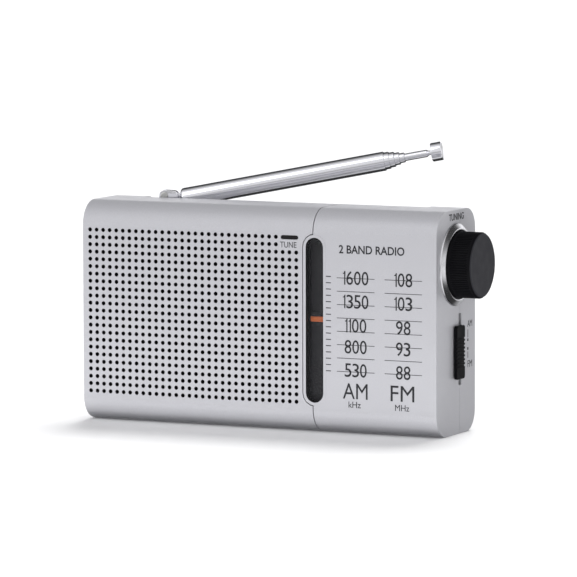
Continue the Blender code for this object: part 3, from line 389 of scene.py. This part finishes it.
def cad_copy(node, name, slot):
    """A piece with the CAD node's shape, with whole faces in place of its triangles."""
    mesh = NODES[node].data.copy()
    shape = bmesh.new()
    shape.from_mesh(mesh)
    bmesh.ops.remove_doubles(shape, verts=shape.verts, dist=0.002 * MM)
    bmesh.ops.dissolve_limit(shape, angle_limit=radians(0.5), verts=shape.verts, edges=shape.edges)
    shape.to_mesh(mesh)
    shape.free()
    if "custom_normal" in mesh.attributes:
        mesh.attributes.remove(mesh.attributes["custom_normal"])
    return new_object(name, mesh, slot)


def closed_mesh(name, points, faces):
    """A mesh whose faces all look outwards."""
    mesh = bpy.data.meshes.new(name)
    mesh.from_pydata(points, [], faces)
    shape = bmesh.new()
    shape.from_mesh(mesh)
    bmesh.ops.recalc_face_normals(shape, faces=shape.faces)
    shape.to_mesh(mesh)
    shape.free()
    return mesh


def rings_mesh(name, rings, loop=False):
    """A closed surface through rings of points. A ring of one point is a pole."""
    points = [point for ring in rings for point in ring]
    starts = []
    count = 0
    for ring in rings:
        starts.append(count)
        count += len(ring)
    faces = []
    pairs = list(zip(range(len(rings)), range(1, len(rings))))
    if loop:
        pairs.append((len(rings) - 1, 0))
    for a, b in pairs:
        size = max(len(rings[a]), len(rings[b]))
        for i in range(size):
            j = (i + 1) % size
            low = [starts[a] + i, starts[a] + j] if len(rings[a]) > 1 else [starts[a]]
            high = [starts[b] + j, starts[b] + i] if len(rings[b]) > 1 else [starts[b]]
            faces.append(low + high)
    return closed_mesh(name, points, faces)


AXES = {
    'X': Matrix(((0, 0, 1, 0), (1, 0, 0, 0), (0, 1, 0, 0), (0, 0, 0, 1))),
    'Y': Matrix(((1, 0, 0, 0), (0, 0, -1, 0), (0, 1, 0, 0), (0, 0, 0, 1))),
}


def turned(name, profile, finish, matrix, sides=64, loop=False, grip=None, dark=()):
    """A profile of (radius, height) points turned about a matrix's Z axis.

    grip(radius, height, index) can change the radius round a rim, for ribs. dark lists the profile's
    lines whose faces are unlit inside surfaces; these get a near-black painted shade in place of the finish.
    """
    rings = []
    for radius, height in profile:
        if radius <= 0:
            rings.append([(0, 0, height)])
            continue
        ring = []
        for i in range(sides):
            angle = 2 * pi * i / sides
            reach = grip(radius, height, i) if grip else radius
            ring.append((reach * cos(angle), reach * sin(angle), height))
        rings.append(ring)
    mesh = rings_mesh(name, rings, loop)
    mesh.transform(matrix)
    item = new_object(name, mesh, finish)
    # Painted shade: the listed inside faces get the near-black material in place of the chrome
    if dark:
        mesh.materials.append(PAINTED_SHADE)
    for line in dark:
        for index in range(line * sides, (line + 1) * sides):
            mesh.polygons[index].material_index = 1
    return soften(item)


def boxes_mesh(name, spans):
    """Several boxes, each from a low to a high corner, as one mesh."""
    shape = bmesh.new()
    for low, high in spans:
        size = Vector(high) - Vector(low)
        middle = (Vector(high) + Vector(low)) / 2
        placed = Matrix.Translation(middle) @ Matrix.Diagonal((*size, 1.0))
        bmesh.ops.create_cube(shape, size=1.0, matrix=placed)
    mesh = bpy.data.meshes.new(name)
    shape.to_mesh(mesh)
    shape.free()
    # The boxes carry the near-black painted shade, which a cut passes on to the faces that it makes
    mesh.materials.append(PAINTED_SHADE)
    return mesh


def cut_with(item, mesh):
    """Cut a mesh's solid out of the piece."""
    tool = bpy.data.objects.new("tool", mesh)
    bpy.context.scene.collection.objects.link(tool)
    step = item.modifiers.new("cut", 'BOOLEAN')
    step.operation = 'DIFFERENCE'
    step.solver = 'EXACT'
    step.object = tool
    # The faces that the cut makes take the tool's material: for pegs and recess boxes, the painted shade
    step.material_mode = 'TRANSFER'
    fixed(item)
    bpy.data.objects.remove(tool)
    return item


# ---------------------------------------------------------------- case

def grille_places():
    """(X, Z, whether it goes through) of every grille hole."""
    places = []
    for row in range(ROWS):
        for column in range(SHORT_COLUMNS if row < SHORT_ROWS else COLUMNS):
            reach = ((column - SPEAKER_COLUMN) ** 2 + (row - SPEAKER_ROW) ** 2) ** 0.5
            places.append((FIRST_X + PITCH * column, FIRST_Z - PITCH * row, reach <= SPEAKER_REACH))
    return places


def hole_pegs(places, sides=14):
    """Pegs that cut the grille's holes: long ones over the speaker, short ones elsewhere."""
    shape = bmesh.new()
    over = 1.0 * MM
    for x, z, through in places:
        back = FRONT + (WALL + over if through else DIMPLE_DEPTH)
        middle = Matrix.Translation((x, (FRONT - over + back) / 2, z)) @ AXES['Y']
        bmesh.ops.create_cone(shape, cap_ends=True, segments=sides, radius1=HOLE_R, radius2=HOLE_R,
                              depth=back - FRONT + over, matrix=middle)
    mesh = bpy.data.meshes.new("pegs")
    shape.to_mesh(mesh)
    shape.free()
    # The pegs carry the painted shade, which the cut passes to the hole walls and dimple floors
    mesh.materials.append(PAINTED_SHADE)
    return mesh


def paint_shade_on(item, is_inside):
    """Give the faces that is_inside(centre, normal) picks a near-black painted shade in place of the
    moulding's silver.
    """
    item.data.materials.append(PAINTED_SHADE)
    for face in item.data.polygons:
        if is_inside(face.center, face.normal):
            face.material_index = len(item.data.materials) - 1
    return item


def door_grips():
    """Ribs across the battery door's middle, as boxes."""
    spans = []
    for index in range(GRIP_RIBS):
        middle = (index - GRIP_RIBS // 2) * GRIP_PITCH
        spans.append(((middle - GRIP_HALF, REAR - GRIP_SUNK, GRIP_LOW),
                      (middle + GRIP_HALF, REAR + GRIP_PROUD, GRIP_HIGH)))
    return spans


def case_pieces():
    """The two front covers, the rear shell and the battery door."""
    grille = cad_copy("front_grille_cover", "grille_cover_finished", "silver_plastic")
    # The holes' walls and floors come out in painted shade, near-black
    cut_with(grille, hole_pegs(grille_places()))
    ride_as(soften(grille), "front_grille_cover")
    dial = cad_copy("front_dial_cover", "front_dial_cover_finished", "silver_plastic")
    bore = WINDOW_R + 0.05 * MM

    def in_window(centre, normal):
        across = abs(centre.x - WINDOW_X) < bore and WINDOW_LOW - 1 * MM < centre.z < WINDOW_HIGH + 1 * MM
        return across and abs(normal.y) < 0.5 and centre.y < FRONT + WALL

    # The window's bore walls get painted shade, near-black
    ride_as(soften(paint_shade_on(dial, in_window)), "front_dial_cover")
    for node in ("rear_shell", "battery_door"):
        ride_as(soften(cad_copy(node, node + "_finished", "silver_plastic")), node)
    grips = new_object("battery_door_grips", boxes_mesh("grips", door_grips()), "silver_plastic")
    ride_on(soften(round_edges(grips, 0.25 * MM, 3)), "door")


# ---------------------------------------------------------------- knob, ring, wheel and switch

def end_axis(x, y, z):
    """A matrix whose Z axis runs along +X from a point."""
    return Matrix.Translation((x, y, z)) @ AXES['X']


def tuning_knob():
    """The ribbed knob with its flat matt face."""
    length = KNOB_FRONT - KNOB_BACK
    steps = 6
    rib_low = 2.0 * MM
    rib_high = length - 1.1 * MM
    depth = 0.2 * MM

    def grip(radius, height, index):
        groove = index % steps in (0, 1)
        return radius - depth if groove and rib_low <= height <= rib_high else radius

    profile = [(0, length - 0.12 * MM), (8.4 * MM, length - 0.12 * MM), (9.1 * MM, length),
               (9.35 * MM, length), (9.75 * MM, length - 0.2 * MM), (KNOB_R, length - 0.75 * MM),
               (KNOB_R, length - 1.0 * MM), (KNOB_R, rib_high), (KNOB_R, rib_low), (KNOB_R, 1.4 * MM),
               (SKIRT_R - 0.1 * MM, 1.2 * MM), (SKIRT_R, 1.0 * MM), (SKIRT_R, 0.2 * MM),
               (SKIRT_R - 0.2 * MM, 0), (1.8 * MM, 0), (1.8 * MM, 4.9 * MM), (0, 4.9 * MM)]
    knob = turned("knob_finished", profile, "black_plastic", end_axis(KNOB_BACK, 0, KNOB_Z),
                  KNOB_RIBS * steps, grip=grip)
    knob.data.materials.append(KNOB_FACE)
    for face in knob.data.polygons:
        if face.normal.x > 0.5 and face.center.x > KNOB_FRONT - 0.3 * MM:
            face.material_index = 1
    ride_as(knob, "tuning_knob")


def bezel_ring():
    """The bright ring round the knob."""
    low = -0.2 * MM
    crown = 0.45 * MM
    middle = BEZEL_BORE + crown
    steps = 10
    profile = [(BEZEL_BORE, low), (BEZEL_R, low), (BEZEL_R, 0.25 * MM), (BEZEL_R - 0.08 * MM, 0.4 * MM),
               (BEZEL_R - 0.25 * MM, 0.5 * MM)]
    for i in range(2, steps + 1):
        angle = pi * i / steps
        profile.append((middle + crown * cos(angle), BEZEL_PROUD - crown + crown * sin(angle)))
    ring = turned("bezel_ring_finished", profile, "satin_metal", end_axis(RIGHT, 0, KNOB_Z), 128, loop=True)
    ride_as(ring, "knob_bezel_ring")


def volume_wheel():
    """The notched thumbwheel in the left end."""
    low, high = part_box("volume_wheel")
    middle = JOINTS["volume_turn"]["pos_m"]
    half = 1.8 * MM
    radius = (high.z - low.z) / 2
    notches = 44
    steps = 4

    def grip(reach, height, index):
        return reach - 0.35 * MM if index % steps == 0 and reach > radius - 0.6 * MM else reach

    hub_r = 2.4 * MM
    hub = half + 0.3 * MM
    edge = 0.5 * MM
    profile = [(0, hub), (hub_r, hub), (hub_r, half), (radius - edge, half), (radius, half - edge),
               (radius, edge - half), (radius - edge, -half), (0, -half)]
    matrix = Matrix.Translation(middle) @ Matrix.Rotation(-pi / 2, 4, 'X')
    wheel = turned("volume_wheel_finished", profile, "black_plastic", matrix, notches * steps, grip=grip)
    ride_as(wheel, "volume_wheel")


def case_screw(index):
    """A case screw with a cross recess in its head."""
    node = "case_screw_%d" % index
    low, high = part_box(node)
    x = (low.x + high.x) / 2
    z = (low.z + high.z) / 2
    reach = 1.15 * MM
    half = 0.26 * MM
    back = high.y + 0.5 * MM
    front = high.y - 0.7 * MM
    screw = cad_copy(node, node + "_finished", "plated_steel")
    # The cross recess's faces take the painted shade, near-black, from the cutting boxes
    for wide, tall in ((reach, half), (half, reach)):
        cut_with(screw, boxes_mesh("recess", [((x - wide, front, z - tall), (x + wide, back, z + tall))]))
    ride_as(soften(screw), node)


def rounded_copy(node, slot, width, segments=2):
    """The CAD node's shape with small rounds on its edges."""
    item = round_edges(cad_copy(node, node + "_finished", slot), width, segments)
    return ride_as(soften(item), node)


# ---------------------------------------------------------------- printing

def lettering(words, weight):
    """Flat letters as (bmesh, width, height) with the low left corner at the origin."""
    curve = bpy.data.curves.new("letters", 'FONT')
    curve.body = words
    curve.size = 1.0
    curve.offset = weight
    curve.resolution_u = 4
    curve.extrude = 0.5
    item = bpy.data.objects.new("letters", curve)
    bpy.context.scene.collection.objects.link(item)
    graph = bpy.context.evaluated_depsgraph_get()
    mesh = bpy.data.meshes.new_from_object(item.evaluated_get(graph))
    bpy.data.objects.remove(item)
    shape = bmesh.new()
    shape.from_mesh(mesh)
    bmesh.ops.remove_doubles(shape, verts=shape.verts, dist=0.0005)
    return shape


def plate(whole, outline):
    """Add a flat shape, given by its corners in millimetres, to a bmesh as a thin plate."""
    faces = []
    for out in (-SUNK, INK):
        corners = [whole.verts.new((x * MM, z * MM, out)) for x, z in outline]
        faces.append(corners)
    low, high = faces
    whole.faces.new(reversed(low))
    whole.faces.new(high)
    for i in range(len(outline)):
        j = (i + 1) % len(outline)
        whole.faces.new((low[i], low[j], high[j], high[i]))


def printed(name, words, plates, spin, finish, weight=LETTER_WEIGHT):
    """Lettering and flat shapes as one thin piece, in millimetres across and up the printed face.

    words are (text, left, low, right, high). spin takes (across, up, out) to the row frame. Text with an
    M in it keeps its plain weight, because a bolder M breaks its faces.
    """
    whole = bmesh.new()
    for text, *span in words:
        left, low, right, high = [v * MM for v in span]
        shape = lettering(text, 0.0 if "M" in text else weight)
        xs = [v.co.x for v in shape.verts]
        ys = [v.co.y for v in shape.verts]
        grow = ((right - left) / (max(xs) - min(xs)), (high - low) / (max(ys) - min(ys)))
        for v in shape.verts:
            v.co.x = left + (v.co.x - min(xs)) * grow[0]
            v.co.y = low + (v.co.y - min(ys)) * grow[1]
            v.co.z = INK if v.co.z > 0 else -SUNK
        piece = bpy.data.meshes.new("word")
        shape.to_mesh(piece)
        shape.free()
        whole.from_mesh(piece)
    for outline in plates:
        plate(whole, outline)
    mesh = bpy.data.meshes.new(name)
    whole.to_mesh(mesh)
    whole.free()
    mesh.transform(spin)
    return ride_on(new_object(name, mesh, finish), "case")


ON_FRONT = Matrix(((1, 0, 0, 0), (0, 0, -1, FRONT), (0, 1, 0, 0), (0, 0, 0, 1)))
ON_END = Matrix(((0, 0, 1, RIGHT), (1, 0, 0, 0), (0, 1, 0, 0), (0, 0, 0, 1)))


def bar(left, low, right, high):
    """A rectangle's corners."""
    return [(left, low), (right, low), (right, high), (left, high)]


def figure_one(right, z, tall):
    """The corners of a one: a stem with a small flag."""
    stem = 0.4
    high = z + tall / 2
    return [(right - stem, z - tall / 2), (right, z - tall / 2), (right, high), (right - stem * 0.75, high),
            (right - 0.5, high - 0.52), (right - 0.86, high - 0.66), (right - 0.86, high - 0.92),
            (right - stem, high - 0.86)]


def number_column(texts, centre, heights):
    """One column of dial numbers: (words, plates). The ones are plates and the rest is lettering."""
    tall = 4.2
    wide = 2.25
    narrow = 0.86
    space = 0.32
    words = []
    ones = []
    for text, z in zip(texts, heights):
        widths = [narrow if digit == "1" else wide for digit in text]
        left = centre - (sum(widths) + space * (len(text) - 1)) / 2
        for digit, width in zip(text, widths):
            if digit == "1":
                ones.append(figure_one(left + width, z, tall))
            else:
                words.append((digit, left, z - tall / 2, left + width, z + tall / 2))
            left += width + space
    return words, ones


def printing():
    """The dial, the lamp's name and the end's labels."""
    heights = (48.3, 41.05, 33.7, 27.2, 20.0)
    words, ones = number_column(("1600", "1350", "1100", "800", "530"), 33.5, heights)
    more_words, more_ones = number_column(("108", "103", "98", "93", "88"), 49.4, heights)
    words += more_words
    words += [("AM", 29.2, 11.2, 37.5, 16.0), ("FM", 45.2, 11.2, 53.1, 16.0), ("kHz", 31.1, 8.5, 35.2, 10.4),
              ("MHz", 46.7, 8.3, 51.4, 10.2)]
    printed("dial_lettering", words, ones + more_ones, ON_FRONT, PRINT)
    printed("band_lettering", [("2 BAND RADIO", 27.9, 55.7, 49.8, 58.3)], [], ON_FRONT, PRINT, BOLD_WEIGHT)
    half_line = 0.1
    half_tick = 0.15
    line_count, line_top, line_step = 8, 48.2, 4.1
    tick_count, tick_top, tick_step = 16, 48.5, 1.933
    lines = []
    for index in range(line_count):
        z = line_top - line_step * index
        lines.append(bar(27.2, z - half_line, 39.85, z + half_line))
        lines.append(bar(43.2, z - half_line, 55.65, z + half_line))
    for index in range(tick_count):
        z = tick_top - tick_step * index
        lines.append(bar(23.4, z - half_tick, 25.2, z + half_tick))
    printed("dial_lines", [], lines, ON_FRONT, PALE_PRINT)
    lamp_name = [("TUNE", 8.0, 56.8, 13.6, 58.6)]
    printed("lamp_lettering", lamp_name, [], ON_FRONT, PALE_PRINT, 2 * LETTER_WEIGHT)
    ends = [("TUNING", -5.4, 65.85, 5.8, 67.95), ("AM", 8.7, 32.3, 12.3, 34.3),
            ("FM", 8.9, 19.8, 12.3, 21.9)]
    marks = [bar(8.9, 29.0, 9.25, 31.5), bar(8.9, 22.7, 9.25, 24.7), bar(8.6, 27.9, 9.5, 28.7),
             bar(8.6, 25.2, 9.5, 26.0)]
    printed("end_lettering", ends, marks, ON_END, PRINT, BOLD_WEIGHT)


# ---------------------------------------------------------------- antenna

def antenna_matrix():
    """Z along the antenna from the pivot, and the tube's centre line as its origin."""
    along = Vector(JOINTS["telescope_1"]["axis"])
    across = -Vector(JOINTS["antenna_tilt"]["axis"])
    up = along.cross(across)
    place = PIVOT - up * TUBE_DROP
    rows = [(across[i], up[i], along[i], place[i]) for i in range(3)]
    return Matrix(rows + [(0, 0, 0, 1)])


def tube_profile(outer, bore, start, end, lip):
    """A tube with a rolled lip at its mouth and a plug at its inner end."""
    floor_at = start + 0.6 * MM
    rim = outer - 0.14 * MM
    return [(0, floor_at), (bore, floor_at), (bore, end - 0.5 * MM), (rim, end - 0.45 * MM), (rim, end),
            (outer - 0.06 * MM, end - 0.02 * MM), (outer, end - lip), (outer, start), (0, start)]


def outer_tube(matrix, outer, bore):
    """The outer tube with a ball-nosed inner end, and a flat tongue that ends beside the tilt pin."""
    nose = 1.2 * MM
    profile = tube_profile(outer, bore, TUBE_START + nose, TUBE_END, 0.25 * MM)[:-1]
    steps = 5
    for i in range(1, steps):
        angle = pi / 2 * i / steps
        profile.append((outer - nose + nose * cos(angle), TUBE_START + nose - nose * sin(angle)))
    profile.append((0, TUBE_START))
    tube = turned("antenna_tube_finished", profile, "chrome", matrix, 64, dark=MOUTH_LINES)
    ride_as(tube, "antenna_tube")
    thick = 1.0 * MM
    drop = 1.7
    outline = [(5.6, 3.4), (5.6, 0.2), (2.2, 0.15), (1.1, 0.6), (0.4, 1.4), (0.35, 2.4), (0.9, 3.2),
               (1.9, 3.55), (3.4, 3.5)]
    rings = [[(side, (v - drop) * MM, u * MM) for u, v in outline] for side in (-thick, thick)]
    count = len(outline)
    faces = [list(range(count))[::-1], list(range(count, 2 * count))]
    for i in range(count):
        j = (i + 1) % count
        faces.append([i, j, count + j, count + i])
    mesh = closed_mesh("tongue", rings[0] + rings[1], faces)
    mesh.transform(matrix)
    tongue = new_object("antenna_tongue", mesh, "chrome")
    ride_on(soften(round_edges(tongue, 0.15 * MM)), "antenna")


def antenna():
    """The tube, the nested sections, the rod and its button, each on its own body."""
    matrix = antenna_matrix()
    for index in range(1, len(TUBE_RADII)):
        start = TUBE_START + (1.5 + 1.1 * index) * MM
        end = TUBE_END + SECTION_STEP * index
        profile = tube_profile(TUBE_RADII[index] * MM, TUBE_BORES[index] * MM, start, end, 0.3 * MM)
        name = "antenna_section_%d" % (index + 1)
        tube = turned(name + "_finished", profile, "chrome", matrix, 48, dark=MOUTH_LINES)
        ride_as(tube, name)
    outer_tube(matrix, TUBE_RADII[0] * MM, TUBE_BORES[0] * MM)
    neck = TIP_END - 5.0 * MM
    profile = [(0, TIP_END - 2.4 * MM), (0.7 * MM, TIP_END - 2.4 * MM), (0.7 * MM, neck + 0.9 * MM),
               (0.85 * MM, neck + 0.5 * MM), (ROD_R, neck), (ROD_R, 11.9 * MM), (0, 11.9 * MM)]
    ride_as(turned("antenna_rod_finished", profile, "chrome", matrix, 40), "antenna_rod")
    back = TIP_END - 3.5 * MM
    profile = [(0, TIP_END - 0.15 * MM), (TIP_R - 0.9 * MM, TIP_END - 0.1 * MM),
               (TIP_R - 0.35 * MM, TIP_END), (TIP_R - 0.1 * MM, TIP_END - 0.12 * MM),
               (TIP_R, TIP_END - 0.4 * MM), (TIP_R, back + 0.4 * MM),
               (TIP_R - 0.12 * MM, back + 0.1 * MM), (TIP_R - 0.4 * MM, back), (1.0 * MM, back),
               (1.0 * MM, TIP_END - 2.1 * MM), (0, TIP_END - 2.1 * MM)]
    ride_as(turned("antenna_tip_finished", profile, "chrome", matrix, 48), "antenna_tip")


# ---------------------------------------------------------------- everything else

def carried_over():
    """Better materials on the CAD pieces that stay."""
    slots = {part["node"]: part["material_slot"] for part in frame["record"]["subparts"]}
    for node, item in NODES.items():
        if item.hide_render:
            continue
        item.data.materials.clear()
        item.data.materials.append(FINISHES[slots[node]])


look_through(CAMERA_PLACE, CAMERA_TURN, CAMERA_LENS)
studio_sky(SKY, strength=0.9)
daylight(strength=2.95, spread=32, lean=-29)
softbox("left_front", place=(-0.9, -1.2, 0.35), aim=(0, 0, 0.03), size=(0.9, 0.9), power=1.1)
softbox("high_front", place=(-0.3, -0.9, 0.95), aim=(0, 0, 0.05), size=(0.8, 0.8), power=1.5)
bounce = softbox("floor_bounce", place=(0.02, -0.055, 0.001), aim=(0.02, -0.055, 1.0), size=(0.5, 0.07),
                 power=0.2)
bounce.visible_glossy = False
bounce.visible_camera = False
bpy.context.scene.view_settings.view_transform = 'Standard'
floor()
case_pieces()
tuning_knob()
bezel_ring()
volume_wheel()
for number in range(1, 5):
    case_screw(number)
rounded_copy("band_switch_cap", "black_plastic", 0.12 * MM)
rounded_copy("dial_pointer", "pointer_orange", 0.12 * MM)
rounded_copy("pointer_carriage", "dial_plastic", 0.08 * MM)
rounded_copy("antenna_swivel", "chrome", 0.12 * MM)
rounded_copy("tune_lamp_lens", "lamp_lens", 0.08 * MM)
printing()
antenna()
carried_over()
